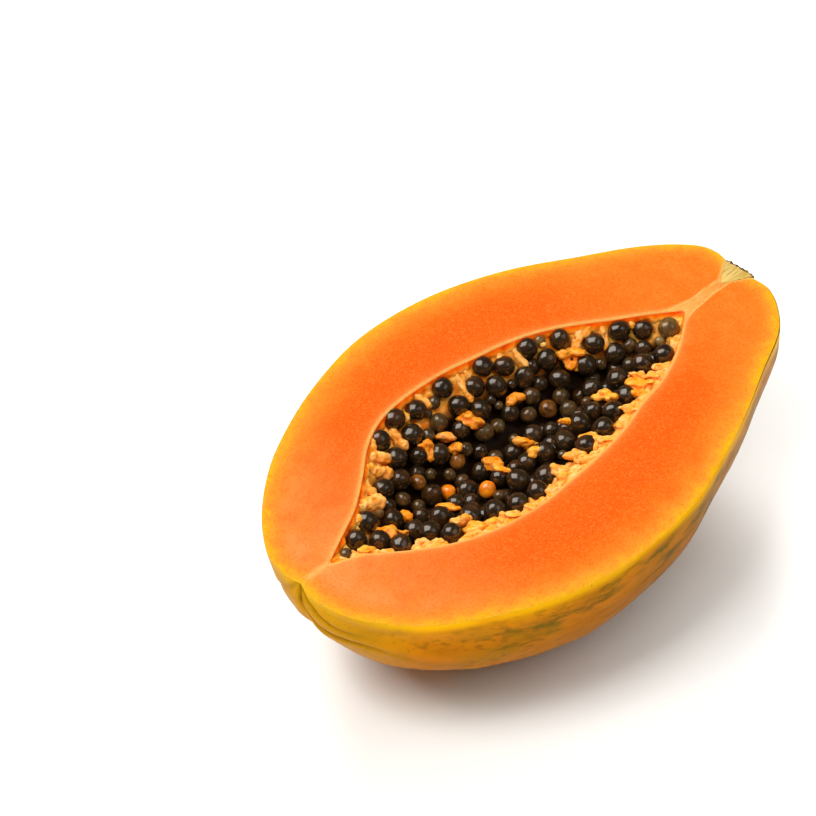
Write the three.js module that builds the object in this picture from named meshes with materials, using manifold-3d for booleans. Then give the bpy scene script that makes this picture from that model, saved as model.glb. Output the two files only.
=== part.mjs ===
// Half of a ripe papaya, cut lengthwise and lying level on its skin with the cut face up.
// Millimetres, +Z up, +X towards the stem. The origin is under the middle of the fruit, on the
// small flat spot of the belly that it rests on.
// Everything is shaped in the plan frame first: the cut face is z = 0, x runs along the fruit's
// axis and y across it. The group at the end lifts it all into place.

import * as THREE from "three";
import { mergeVertices } from "three/addons/utils/BufferGeometryUtils.js";
import Module from "manifold-3d";

const wasm = await Module();
wasm.setup();

// The half as a whole
const BELLY_DEPTH = 63.6; // from the cut face to the lowest skin
const FLAT_DEPTH = 0.8; // how far the belly is flattened where it rests
const RINGS = 40; // sections along the fruit
const SIDES = 22; // steps round half a section

// Skin outline on the cut face, from the blossom end to the stem, one list for each side of the axis
const BLOSSOM_NOTCH = [-100.4, -0.2];
const STEM_PIT = [85.3, 0.8];
const FAR_SKIN = [
  [-101.3, 6.5], [-98.8, 16.5], [-90.3, 28.7], [-78, 40.3], [-65.5, 48.6], [-46.6, 57.7],
  [-23.9, 64.5], [-4.4, 65.5], [15.6, 62.4], [36.5, 54.6], [56.7, 42.6], [70, 34.5],
  [79.5, 27], [86.6, 18.6], [88.3, 12], [86.9, 5.5],
];
const NEAR_SKIN = [
  [-101.8, -6.5], [-99.6, -19], [-92.5, -31], [-83, -40.8], [-68, -50.2], [-49.6, -58],
  [-28, -61.5], [-2.1, -59.6], [18, -53.1], [37.1, -45.3], [56.7, -35.6], [72, -28.2],
  [80.5, -20.6], [85.8, -12.4], [86.3, -5],
];

// Lobes: shallow creases that run back from the blossom end and fade out
const CREASE_ANGLES = [21, 93, 165]; // degrees round the section, from the far rim
const CREASE_WIDTH = 11; // degrees
const CREASE_DEPTH = 1.9;
const CREASE_RISE = 0.07; // share of the length over which a crease deepens
const CREASE_END = 0.55; // share of the length where it has faded out

// Shoulder: the near side bulges out under the rim towards the stem
const SHOULDER_BULGE = 2.4;
const SHOULDER_ANGLE = 145; // degrees round the section, from the far rim
const SHOULDER_WIDTH = 24; // degrees
const SHOULDER_RISE = [0.6, 0.85]; // shares of the length between which it swells
const SHOULDER_FADE = [0.95, 1];

// Seed cavity: its edges on the cut face, from the blossom end to the stem
const CAVITY_START = [-90, -0.3];
const CAVITY_END = [60.5, 0];
const FAR_EDGE = [
  [-80, 5], [-70, 10.5], [-60, 18.3], [-50, 27], [-40, 32.5], [-30, 34.5], [-20, 34.8],
  [-10, 34], [0, 32], [10, 30], [20, 26.8], [30, 21.5], [40, 14.5], [50, 7.8],
];
const NEAR_EDGE = [
  [-80, -5], [-70, -13], [-60, -19.6], [-50, -23.7], [-40, -26.2], [-30, -27], [-20, -26.3],
  [-10, -25.6], [0, -24.3], [10, -22.2], [20, -19], [30, -16.8], [40, -13], [50, -7.5],
];
const CAVITY_RINGS = 30;
const CAVITY_STEPS = 12;
const CUT_OVERSHOOT = 4; // the cavity's cutter stands this far above the cut face

// Pulp that lines the cavity and holds the seeds, as depths below the cut face. It leans in from
// the near edge as a bank, drops into an open hollow, and rises steeply to the far edge.
const NEAR_TOP = 3.4;
const NEAR_SLOPE = 0.3;
const NEAR_BANK = 0.42; // share of the width that the near bank takes
const NEAR_DROP = 2.2; // slope of its inner side
const FAR_TOP = 3.6;
const FAR_SLOPE = 0.75;
const FLOOR_SHARE = 0.345; // depth of the hollow as a share of the width

// Seeds: each place is where the seed's middle shows on the cut face from EYE, and the seed lies
// further down that line, on the pulp
const EYE = new THREE.Vector3(-369, -378, 498);
const SEED_RADIUS = 3.15;
const SEED_LENGTHEN = 1.1;
const SEED_TURNS = [1.9, 2.7, 0.8]; // radians that each seed is turned further than the one before
const SEED_PROUD = 1.4; // height of a seed's middle above the pulp
const HIGHEST_MIDDLE = -2.3;
const SOCKET_GAP = 0.45;
const SEED_GAP = 0.35;
const SIGHT_STEP = 0.2;
const SETTLE_ROUNDS = 60;
const SEEDS_SEEN = [
  [-78.3, 0.8], [-71.3, 4.2], [-73.8, -4.4], [-70.7, -10], [-65.4, -1.3], [-64, -7.9],
  [-61, -12.6], [-57.8, -17.2], [-58.9, 10.6], [-52.9, 9.8], [-50.6, -1.8], [-55.2, -10],
  [-42.2, -8], [-47, -17.2], [-42.3, -19.5], [-45.9, 26.2], [-47.5, 17], [-36.8, 29.3],
  [-37.2, 21.8], [-29.6, 28], [-17, 28.8], [-18.9, 20.8], [-9.4, 22.8], [-2, 27.3],
  [2.5, 22], [-5, 18], [3.6, 14.8], [13.6, 22.9], [23.3, 18.6], [13.8, 14.6],
  [11, 7.5], [21.3, 5.3], [28.6, 9], [31, 2.8], [38.4, 7.8], [44.4, 3.2],
  [50.3, -2.2], [40.3, -9.4], [33.2, -7.8], [22.4, -6.6], [19.2, -13.7], [11.6, -15.8],
  [13.7, -4.2], [0.5, -11.9], [4, -18.6], [-5, -20], [-8.3, -13.8], [-12.4, -5],
  [-15, -13], [-23.2, -20.6], [-29.6, -22.6], [-36.2, -21.7], [-29, -15.3], [-37.8, 9],
  [-15.7, 13.9],
];

// Stub of the stalk: half a cone that sits in the pit between the shoulders
const STUB_TIP = [77.5, 0.5];
const STUB_BASE = [87.2, 0.9];
const STUB_RADIUS = 5.9;
const STUB_CROWN = 0.7; // how far the torn end bulges
const STUB_GAP = 0.4;
const PIT_REACH = 1.4; // the pit runs on to this many times the stub's length
const STUB_RINGS = 5;
const STUB_SIDES = 16;

const COLOURS = { flesh: 0xff8a2a, seed: 0x241a12, stub: 0xc9b86a };
const ROUGHNESS = { flesh: 0.45, seed: 0.15, stub: 0.7 };

// A closed solid through rings of equal length, drawn to a point at both ends
function loft(start, rings, end) {
  const size = rings[0].length;
  const places = [start, ...rings.flat(), end];
  const last = places.length - 1;
  const faces = [];
  const at = (ring, step) => 1 + ring * size + (step % size);
  for (let step = 0; step < size; step++) {
    faces.push([0, at(0, step), at(0, step + 1)]);
    faces.push([last, at(rings.length - 1, step + 1), at(rings.length - 1, step)]);
    for (let ring = 0; ring + 1 < rings.length; ring++) {
      faces.push([at(ring, step), at(ring + 1, step), at(ring, step + 1)]);
      faces.push([at(ring, step + 1), at(ring + 1, step), at(ring + 1, step + 1)]);
    }
  }
  return new wasm.Manifold(
    new wasm.Mesh({
      numProp: 3,
      vertProperties: new Float32Array(places.flat()),
      triVerts: new Uint32Array(faces.flat()),
    }),
  );
}

function geometryOf(solid) {
  const { vertProperties, triVerts } = solid.getMesh();
  const geometry = new THREE.BufferGeometry();
  geometry.setAttribute("position", new THREE.BufferAttribute(vertProperties, 3));
  geometry.setIndex(new THREE.BufferAttribute(triVerts, 1));
  geometry.computeVertexNormals();
  return geometry;
}

function solidOf(geometry) {
  const shape = new THREE.BufferGeometry();
  shape.setAttribute("position", geometry.getAttribute("position"));
  const merged = mergeVertices(shape);
  return new wasm.Manifold(
    new wasm.Mesh({
      numProp: 3,
      vertProperties: merged.attributes.position.array,
      triVerts: new Uint32Array(merged.index.array),
    }),
  );
}

const splineThrough = (points) => new THREE.SplineCurve(points.map(([x, y]) => new THREE.Vector2(x, y)));
const mix = THREE.MathUtils.lerp;

// How far a crease is sunk at a share of the length and an angle round the section
function creaseAt(along, angle) {
  const rise = THREE.MathUtils.smoothstep(along, 0, CREASE_RISE);
  const fade = 1 - THREE.MathUtils.smoothstep(along, CREASE_RISE, CREASE_END);
  const sides = CREASE_ANGLES.map((middle) => {
    const off = (THREE.MathUtils.radToDeg(angle) - middle) / CREASE_WIDTH;
    return Math.exp(-off * off);
  });
  return CREASE_DEPTH * rise * fade * Math.max(...sides);
}

// How far the shoulder stands out at a share of the length and an angle round the section
function shoulderAt(along, angle) {
  const rise = THREE.MathUtils.smoothstep(along, ...SHOULDER_RISE);
  const fade = 1 - THREE.MathUtils.smoothstep(along, ...SHOULDER_FADE);
  const off = (THREE.MathUtils.radToDeg(angle) - SHOULDER_ANGLE) / SHOULDER_WIDTH;
  return SHOULDER_BULGE * rise * fade * Math.exp(-off * off);
}

// The half fruit without its cavity: both outlines, swept round below the cut face
function wholeBody() {
  const far = splineThrough([BLOSSOM_NOTCH, ...FAR_SKIN, STEM_PIT]);
  const near = splineThrough([BLOSSOM_NOTCH, ...NEAR_SKIN, STEM_PIT]);
  const halfWidths = (along) => {
    const axis = mix(BLOSSOM_NOTCH[1], STEM_PIT[1], along);
    const a = far.getPointAt(along);
    const b = near.getPointAt(along);
    return { axis, a, b, farHalf: a.y - axis, nearHalf: axis - b.y };
  };
  let widest = 0;
  for (let i = 1; i < RINGS; i++) {
    const { farHalf, nearHalf } = halfWidths(i / RINGS);
    widest = Math.max(widest, (farHalf + nearHalf) / 2);
  }
  const rings = [];
  for (let i = 1; i < RINGS; i++) {
    const along = i / RINGS;
    const { axis, a, b, farHalf, nearHalf } = halfWidths(along);
    const ring = [];
    for (let j = 0; j <= SIDES; j++) {
      const angle = (Math.PI * j) / SIDES;
      const share = (1 - Math.cos(angle)) / 2;
      const deepen = mix(1, BELLY_DEPTH / widest, Math.sin(angle) ** 2);
      const even = mix(farHalf, nearHalf, share) * deepen;
      const radius = even - creaseAt(along, angle) + shoulderAt(along, angle);
      ring.push([mix(a.x, b.x, share), axis + radius * Math.cos(angle), -radius * Math.sin(angle)]);
    }
    rings.push(ring);
  }
  return loft([...BLOSSOM_NOTCH, 0], rings, [...STEM_PIT, 0]);
}

// y of an edge of the cavity at x, on a smooth curve through its points
function edgeAt(points, x) {
  const all = [CAVITY_START, ...points, CAVITY_END];
  const next = Math.min(Math.max(all.findIndex((point) => point[0] > x), 1), all.length - 1);
  const slope = (i) => {
    const before = all[Math.max(i - 1, 0)];
    const after = all[Math.min(i + 1, all.length - 1)];
    return (after[1] - before[1]) / (after[0] - before[0]);
  };
  const [x0, y0] = all[next - 1];
  const [x1, y1] = all[next];
  const span = x1 - x0;
  const t = THREE.MathUtils.clamp((x - x0) / span, 0, 1);
  const ease = t * t * (3 - 2 * t);
  const bend = span * t * (1 - t) * ((1 - t) * slope(next - 1) - t * slope(next));
  return mix(y0, y1, ease) + bend;
}

// Depth of the pulp's surface below the cut face
function pulpDepth(x, y) {
  const far = edgeAt(FAR_EDGE, x);
  const near = edgeAt(NEAR_EDGE, x);
  const width = far - near;
  const fromNear = Math.max(y - near, 0);
  const drop = NEAR_DROP * Math.max(fromNear - NEAR_BANK * width, 0);
  const nearBank = NEAR_TOP + NEAR_SLOPE * fromNear + drop;
  const farBank = FAR_TOP + FAR_SLOPE * Math.max(far - y, 0);
  return Math.min(nearBank, farBank, Math.max(FLOOR_SHARE * width, NEAR_TOP));
}

// The open space over the pulp, as a solid that reaches a little above the cut face
function hollow() {
  const rings = [];
  for (let i = 1; i < CAVITY_RINGS; i++) {
    const x = mix(CAVITY_START[0], CAVITY_END[0], i / CAVITY_RINGS);
    const far = edgeAt(FAR_EDGE, x);
    const near = edgeAt(NEAR_EDGE, x);
    const ring = [[x, far, CUT_OVERSHOOT]];
    for (let j = 0; j <= CAVITY_STEPS; j++) {
      const y = mix(far, near, j / CAVITY_STEPS);
      ring.push([x, y, -pulpDepth(x, y)]);
    }
    ring.push([x, near, CUT_OVERSHOOT]);
    rings.push(ring);
  }
  return loft([...CAVITY_START, 0], rings, [...CAVITY_END, 0]);
}

// Where the sight line through a place on the cut face meets the layer of seed middles
function restOnPulp([x, y]) {
  const place = new THREE.Vector3(x, y, 0);
  const step = place.clone().sub(EYE).multiplyScalar(SIGHT_STEP / EYE.z);
  place.addScaledVector(step, -HIGHEST_MIDDLE / SIGHT_STEP);
  while (-place.z < pulpDepth(place.x, place.y) - SEED_PROUD) place.add(step);
  return place;
}

// Pushes seeds apart until no two touch
function settle(places) {
  const apart = 2 * SEED_RADIUS * SEED_LENGTHEN + SEED_GAP;
  const between = new THREE.Vector3();
  for (let round = 0; round < SETTLE_ROUNDS; round++) {
    places.forEach((a, i) => {
      for (const b of places.slice(i + 1)) {
        between.subVectors(b, a);
        const short = apart - between.length();
        if (short <= 0) continue;
        between.setLength(short / 2);
        a.sub(between);
        b.add(between);
      }
    });
    for (const place of places) place.z = Math.min(place.z, HIGHEST_MIDDLE);
  }
  return places;
}

// A seed, slightly longer than thick, turned its own way
function seedShape(place, number, scale) {
  const turn = new THREE.Euler(...SEED_TURNS.map((step) => number * step));
  const radius = SEED_RADIUS * scale;
  return new THREE.IcosahedronGeometry(1, 1)
    .scale(radius, radius, radius * SEED_LENGTHEN)
    .applyMatrix4(new THREE.Matrix4().makeRotationFromEuler(turn))
    .translate(place.x, place.y, place.z);
}

// Half the stalk's stub. With a gap it is the pit that the stub sits in: wider, open above and
// run on past the stub's end.
function stubSolid(gap) {
  const reach = gap ? PIT_REACH : 1;
  const rings = [];
  for (let i = 1; i <= STUB_RINGS; i++) {
    const along = (reach * i) / STUB_RINGS;
    const radius = STUB_RADIUS * along + gap;
    const x = mix(STUB_TIP[0], STUB_BASE[0], along);
    const ring = [];
    for (let j = 0; j <= STUB_SIDES; j++) {
      const angle = (Math.PI * j) / STUB_SIDES;
      const y = mix(STUB_TIP[1], STUB_BASE[1], along) + radius * Math.cos(angle);
      ring.push([x, y, -radius * Math.sin(angle)]);
    }
    if (gap) ring.push([x, ring[STUB_SIDES][1], CUT_OVERSHOOT], [x, ring[0][1], CUT_OVERSHOOT]);
    rings.push(ring);
  }
  const end = [rings.at(-1)[0][0] + STUB_CROWN, STUB_BASE[1], -STUB_RADIUS / 2];
  return loft([STUB_TIP[0] - gap, STUB_TIP[1], 0], rings, end);
}

function fleshSolid(seedPlaces) {
  const socket = (SEED_RADIUS + SOCKET_GAP) / SEED_RADIUS;
  let solid = wholeBody().subtract(hollow()).subtract(stubSolid(STUB_GAP));
  seedPlaces.forEach((place, i) => {
    solid = solid.subtract(solidOf(seedShape(place, i, socket)));
  });
  const level = solid.trimByPlane([0, 0, 1], FLAT_DEPTH - BELLY_DEPTH);
  const bodies = level.decompose();
  return bodies.reduce((largest, body) => (body.volume() > largest.volume() ? body : largest));
}

function named(name, geometry, kind) {
  const material = new THREE.MeshStandardMaterial({
    color: COLOURS[kind],
    roughness: ROUGHNESS[kind],
    metalness: 0,
  });
  const mesh = new THREE.Mesh(geometry, material);
  mesh.name = name;
  return mesh;
}

function papayaHalf() {
  const places = settle(SEEDS_SEEN.map(restOnPulp));
  const flesh = named("rind_and_flesh", geometryOf(fleshSolid(places)), "flesh");
  const stub = named("stem_stub", geometryOf(stubSolid(0)), "stub");
  const seeds = places.map((place, i) => {
    const name = "seed_" + String(i + 1).padStart(2, "0");
    return named(name, seedShape(place, i, 1), "seed");
  });
  const half = new THREE.Group();
  half.add(flesh, stub, ...seeds);
  const box = new THREE.Box3().setFromObject(half);
  const middle = box.getCenter(new THREE.Vector3());
  half.position.set(-middle.x, -middle.y, -box.min.z);
  return half;
}

export default papayaHalf();
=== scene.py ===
import math

import bmesh
import bpy
import numpy as np
from mathutils import Matrix, Vector


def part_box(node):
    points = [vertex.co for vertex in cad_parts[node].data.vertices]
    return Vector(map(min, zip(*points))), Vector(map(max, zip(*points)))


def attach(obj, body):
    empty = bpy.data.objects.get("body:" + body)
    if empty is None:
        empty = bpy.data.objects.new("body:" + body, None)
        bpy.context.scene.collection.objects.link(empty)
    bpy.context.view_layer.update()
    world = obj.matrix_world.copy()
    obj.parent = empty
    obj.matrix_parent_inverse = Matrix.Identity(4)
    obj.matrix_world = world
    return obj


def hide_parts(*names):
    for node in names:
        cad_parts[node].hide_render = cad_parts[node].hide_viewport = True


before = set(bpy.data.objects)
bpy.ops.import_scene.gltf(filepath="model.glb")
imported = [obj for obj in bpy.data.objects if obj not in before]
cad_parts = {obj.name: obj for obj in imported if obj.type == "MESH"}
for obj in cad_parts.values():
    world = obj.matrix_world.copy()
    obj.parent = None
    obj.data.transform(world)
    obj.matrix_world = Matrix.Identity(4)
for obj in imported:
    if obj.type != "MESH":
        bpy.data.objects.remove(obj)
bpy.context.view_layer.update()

# Half of a ripe papaya, cut lengthwise. Everything is shaped in millimetres in the plan frame of
# the CAD model: the cut face is z = 0, x runs along the fruit towards the stem, y across it.
FLESH_LOW, FLESH_HIGH = (np.array(corner) * 1000 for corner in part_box("rind_and_flesh"))
MM = 0.001

# Outline of the skin and edges of the seed cavity on the cut face, as in the CAD model
BLOSSOM_NOTCH = (-100.4, -0.2)
STEM_PIT = (85.3, 0.8)
FAR_SKIN = [
    (-101.3, 6.5), (-98.8, 16.5), (-90.3, 28.7), (-78, 40.3), (-65.5, 48.6), (-46.6, 57.7),
    (-23.9, 64.5), (-4.4, 65.5), (15.6, 62.4), (36.5, 54.6), (56.7, 42.6), (70, 34.5),
    (79.5, 27), (86.6, 18.6), (88.3, 12), (86.9, 5.5),
]
NEAR_SKIN = [
    (-101.8, -6.5), (-99.6, -19), (-92.5, -31), (-83, -40.8), (-68, -50.2), (-49.6, -58),
    (-28, -61.5), (-2.1, -59.6), (18, -53.1), (37.1, -45.3), (56.7, -35.6), (72, -28.2),
    (80.5, -20.6), (85.8, -12.4), (86.3, -5),
]
CAVITY_START = (-90, -0.3)
CAVITY_END = (60.5, 0)
FAR_EDGE = [
    (-80, 5), (-70, 10.5), (-60, 18.3), (-50, 27), (-40, 32.5), (-30, 34.5), (-20, 34.8),
    (-10, 34), (0, 32), (10, 30), (20, 26.8), (30, 21.5), (40, 14.5), (50, 7.8),
]
NEAR_EDGE = [
    (-80, -5), (-70, -13), (-60, -19.6), (-50, -23.7), (-40, -26.2), (-30, -27), (-20, -26.3),
    (-10, -25.6), (0, -24.3), (10, -22.2), (20, -19), (30, -16.8), (40, -13), (50, -7.5),
]
FLAT_DEPTH = 0.8
BELLY_DEPTH = FLESH_HIGH[2] - FLESH_LOW[2] + FLAT_DEPTH

# Shallow creases from the blossom end: angle round the section in degrees, and depth
CREASES = [(21, 0.3), (93, 2.2), (165, 2.2)]
CREASE_WIDTH = 9
CREASE_RISE, CREASE_END = 0.05, 0.55
# Sharp folds: line of points, half width and depth
FOLDS = [
    ([(-100.6, -0.6, 0), (-101.4, -3.3, -3.1), (-101.6, -5.5, -5), (-101.3, -7.8, -7.3), (-100.4, -12, -9),
      (-98.6, -17.6, -9.6), (-97.1, -21, -9.4), (-94.4, -24.8, -10.3), (-88, -32.5, -11.4)], 0.9, 1.3),
    ([(-100.6, -0.2, 0), (-101.3, -0.4, -7.5), (-100.9, -2.2, -10.7), (-99.8, -6, -14), (-99, -12.2, -14.8),
      (-96.5, -19.8, -14.3), (-93.4, -24.9, -15), (-86.4, -32.3, -17.9), (-77, -40, -22)], 1.0, 1.5),
    ([(-100.6, 0.2, 0), (-101.2, 3.2, -3.4), (-98.4, 12.9, -11.7), (-92, 22, -22)], 1.1, 0.7),
]
FOLD_FADE = 0.35
# Depth of a fold at which its painted shade is full
FOLD_SHADE_DEPTH = 1.4
# Shoulder below the stem end: height, angle and width in degrees, and shares of the length
SHOULDER_BULGE, SHOULDER_ANGLE, SHOULDER_WIDTH = 2.4, 145, 24
SHOULDER_RISE, SHOULDER_FADE = (0.6, 0.85), (0.95, 1)
# Unevenness of the skin and of the cut face: height, size and seed of each set of waves
SKIN_BUMPS = [(0.4, 46, 3), (0.16, 15, 4), (0.05, 5, 5)]
FACE_BUMPS = [(0.12, 9, 21), (0.05, 3, 22)]
# How far the cut face rounds down at the rim and at the cavity, and over which width
RIM_DROP, RIM_ROUND = 0.2, 1.0
LIP_DROP, LIP_ROUND = 0.3, 0.7
# Paler lip of the cavity, partly its pale lining and partly a painted highlight along the edge: strength,
# distance from the edge and width
LIP_PALE_AND_HIGHLIGHT = [(0.9, 0.2, 0.75), (0.2, 0, 2.6)]
# Share of that pale tone on the top of the pulp wall below the lip, partly the lining and partly a painted
# highlight
WALL_PALE_AND_HIGHLIGHT = 0.7
# Paler flesh at the blossom end: strength, where it is full and where it fades out
BLOSSOM_PALE = [(0.65, -92, -42), (0.35, -98, -76)]
STEM_PALE, STEM_REACH = 0.9, (22, 70)
# Share by which the rings of the cut face crowd towards the rim and the cavity
RING_CROWDING = [(4, 0.035), (2, 0.06)]
STATION_CROWDING = 0.05

# Pulp bank and hollow, as in the CAD model
NEAR_TOP, NEAR_SLOPE, NEAR_BANK, NEAR_DROP = 3.4, 0.3, 0.42, 2.2
FAR_TOP, FAR_SLOPE, FLOOR_SHARE = 3.6, 0.75, 0.345
# How far the bed of the seeds lies lower, and how far in from the edge it gets there
BANK_DROP, BANK_REACH = 1.6, (0.5, 3)
BED_DROP, BED_REACH = 3.2, (5, 10)
# How far in from the edge the bed of the seeds turns to near-black painted shade
SHADE_REACH = (5, 8)
# Combs down the walls and lumps on the banks
COMB_SPACING, COMB_RISE, COMB_STRETCH = 3.9, 0.5, (1, 0.3, 0.3)
COMB_WANDER = [(1.6, 11, 31)]
BANK_RISE, BED_RISE = 1.0, 0.5
PULP_LUMPS, PULP_ROUGH, PULP_TINT = [(0.45, 4.6, 32)], [(0.1, 1.6, 33)], [(0.1, 3, 35)]
RIM_REACH = (4.5, 10)
NARROW_CAVITY = 8

# Mesh density
CURVE_STEPS = 60
STATIONS = 300
SKIN_STEPS = 110
FACE_RINGS = 34
PULP_STEPS = 140
PULP_SAMPLES = 160
WELD_DISTANCE = 0.02 * MM
THINNEST_EDGE = 0.001 * MM

# Camera: where it stands, its axes, and its focal length as a share of the picture's width
EYE = np.array([-368.9, -378.4, 498.2])
EYE_DISTANCE = 720
CAMERA_RIGHT = Vector((0.7311, -0.6796, -0.0608))
CAMERA_UP = Vector((0.4991, 0.4720, 0.7267))
CAMERA_BACK = Vector((-0.4651, -0.5616, 0.6843))
FOCAL_SHARE = 2400 / 816
SENSOR_MM = 36

# Lights: direction and half sizes in degrees, radiance, and whether they light or only shine
LIGHT_DISTANCE = 3.0
LIGHTS = [
    ("left", 178, 63, 10, 10, 16.5, "light"),
    ("back", 54, 38, 12, 12, 15.5, "light"),
    ("front", -95, 68, 25, 25, 2.75, "light"),
    ("window", 124, 60, 22, 28, 3.6, "shine"),
    ("side_window", -67, 48, 16, 16, 0.7, "shine"),
]
LIGHT_LEVEL = 1.56
WORLD_LEVEL = 0.05
FLOOR_HALF = 2.5
FLOOR_COLOUR = (0.89, 0.9, 0.868, 1)

# Seeds and pulp lumps, given by where their middles show on the cut face from the camera
SEED_RADIUS = 3.2
SEED_SWELL = 1.07
SEED_LIFT, HIGHEST_SEED = 0.6, -2.6
SEED_TOUCH, PART_ROUNDS = 0.93, 40
SIGHT_STEP, SIGHT_END = 0.1, 30
# Lower seeds that close the gaps: tries, radii, how far above the bed, highest middle, least
# distance from the edge, and how near they come to each other
FILL_TRIES = 3000
FILL_RADII = (2.7, 3.2)
FILL_LIFT, FILL_TOP, FILL_INWARD, FILL_TOUCH = 1.6, 5.5, 5.5, 0.94
# Lighter seeds of the frame, and the dark hollow between the seeds, by where they show on the cut face
LIGHT_SEEDS = [(52, -1, "tan"), (-81, 0.5, "brown")]
HOLLOW = [(-28, 0.5), (14, 4)]
HOLLOW_REACH = 5
# x, y, radius, kind
MORE_SEEDS = [
    (-59, -6, 3.1, "dark"), (-48.3, -9.3, 2.9, "dark"), (-42.3, 12.8, 3.0, "dark"),
    (-28.2, 19, 3.0, "brown"), (8, 15.8, 2.9, "dark"), (37.8, -3, 2.8, "dark"),
    (7.3, -11, 3.0, "dark"), (2.5, -5.5, 2.9, "brown"), (-21.8, -6.3, 3.0, "dark"),
    (-22.3, -12.3, 3.0, "dark"), (-32.3, -11, 2.8, "dark"), (-34, -5.2, 3.0, "dark"),
    (-27.3, -4.3, 2.6, "brown"), (-26, 12, 3.1, "dark"), (-10.4, 6.5, 2.9, "dark"),
    (-0.8, 7, 2.9, "brown"), (-7.4, 1.9, 2.6, "brown"), (-21.8, 6.4, 3.1, "brown"),
    (-17.3, 5, 2.6, "brown"), (-7.5, -8, 2.8, "dark"), (29.6, -5.2, 2.5, "brown"),
    (6.3, 1.5, 2.9, "brown"), (36.3, 0.5, 2.6, "brown"), (-62.5, 4.2, 2.3, "dark"),
    (-57.8, 3.2, 2.4, "brown"), (-49.9, 4.9, 2.5, "amber"), (-45, 4.8, 1.8, "brown"),
    (-57, -2.8, 2.2, "brown"), (-41.3, 0.5, 2.0, "brown"), (-40.6, -4, 2.4, "brown"),
    (-84, -1.2, 1.9, "brown"), (-23.3, 26.5, 2.2, "brown"), (18.7, 23, 2.0, "tan"),
    (-1.3, 15.2, 1.6, "dark"), (24, 1.8, 1.9, "brown"), (8.8, -6.9, 1.7, "brown"),
    (-17.7, -2.8, 2.0, "brown"), (-38, -12, 2.6, "orange"), (-34.3, 17.3, 2.2, "brown"),
    (-10.5, 14.6, 1.7, "dark"), (-30.7, 4.6, 2.3, "brown"), (-35.9, 3, 2.6, "amber"),
    (-1.5, -0.8, 2.9, "amber"), (-10.6, 11.2, 1.5, "brown"), (-28, 24.4, 1.5, "brown"),
    (44, -4.2, 1.7, "pale"), (-66.5, 4.2, 1.8, "tan"), (-28.5, 1, 2.4, "dark"),
    (4.5, 9.2, 2.6, "dark"), (18, 0.2, 2.5, "dark"), (-46.5, 9, 2.8, "dark"),
    (-12.6, -17.8, 1.6, "brown"), (-37.3, -16.2, 1.8, "brown"), (-46.7, -4.2, 2.4, "orange"),
]
# x, y, half width, half length, kind
LUMPS = [
    (-52.1, -15.6, 2.3, 2.2, "pale"), (-51.4, -20.1, 2.4, 1.7, "bright"),
    (-46.8, -22.0, 1.9, 1.8, "bright"), (-40.1, -23.5, 1.8, 0.9, "pale"),
    (-66.1, -13.6, 1.9, 1.8, "pale"), (-64.8, -15.1, 0.9, 1.1, "pale"),
    (-62.8, -17.0, 1.6, 1.5, "pale"), (-61.6, -2.5, 1.5, 1.7, "bright"),
    (-69.8, -2.2, 2.2, 1.5, "bright"), (-70.1, -5.4, 1.1, 1.5, "bright"),
    (-78.3, -4.7, 2.1, 1.3, "bright"), (-37.9, 14.4, 1.9, 1.8, "bright"),
    (-40.0, 10.4, 0.9, 2.3, "bright"), (-31.3, 12.8, 2.3, 1.9, "pale"),
    (-32.4, 7.8, 1.6, 1.9, "bright"), (-29.5, -5.6, 1.9, 1.8, "bright"),
    (-29.3, -8.9, 1.6, 1.1, "bright"), (-50.7, -8.4, 2.1, 1.7, "bright"),
    (-21.4, 11.8, 2.2, 1.5, "bright"), (-67.0, -6.9, 1.1, 1.1, "bright"),
    (-20.8, 14.9, 1.7, 1.5, "bright"), (-21.1, 11.0, 1.7, 1.7, "bright"),
    (-5.2, 9.5, 1.9, 2.0, "bright"), (-1.5, -8.9, 1.7, 1.2, "bright"),
    (-16.4, -6.5, 2.3, 1.8, "bright"), (-17.5, -11.0, 1.7, 2.0, "bright"),
    (-10.4, -20.6, 2.3, 2.2, "pale"), (-9.6, -23.9, 2.1, 1.7, "pale"), (-18.2, -20.5, 2.6, 1.8, "pale"),
    (-17.9, -24.0, 1.8, 1.4, "bright"), (-25.8, -25.8, 1.8, 1.5, "pale"),
    (-34.1, -26.7, 2.2, 1.4, "pale"), (-40.3, -24.2, 2.5, 1.4, "pale"),
    (-2.4, -21.3, 1.5, 2.3, "bright"), (19.4, 12.4, 1.9, 1.8, "bright"),
    (18.2, 8.7, 1.7, 1.8, "bright"), (22.7, 10.8, 1.8, 1.8, "bright"), (17.7, 7.1, 1.2, 1.6, "bright"),
    (35.9, -13.3, 2.3, 1.4, "pale"), (27.9, -9.9, 2.3, 1.3, "pale"), (30.4, -13.4, 2.4, 1.2, "pale"),
    (25.3, -13.5, 2.6, 1.7, "bright"), (22.2, -15.9, 1.8, 1.4, "bright"),
    (14.1, -7.9, 2.0, 1.7, "bright"), (15.7, -10.5, 1.8, 1.7, "bright"),
    (15.8, -18.8, 2.6, 1.7, "pale"), (7.8, -21.4, 1.9, 1.5, "pale"), (-0.1, -22.4, 2.2, 1.4, "pale"),
    (-0.3, -17.9, 1.5, 1.0, "pale"), (-2.6, -16.9, 1.8, 1.0, "bright"), (48.1, -8.5, 1.8, 2.2, "pale"),
    (43.9, -10.1, 1.4, 1.4, "pale"),
]
LUMP_SWELL = {"bright": 1.75, "pale": 1.5}
LUMP_LIFT = 2.6
LUMP_COVER, LUMP_TALL_SHARE = 1.2, 0.9
LUMP_TOP, LUMP_PRESS = -0.5, 0.2
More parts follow.
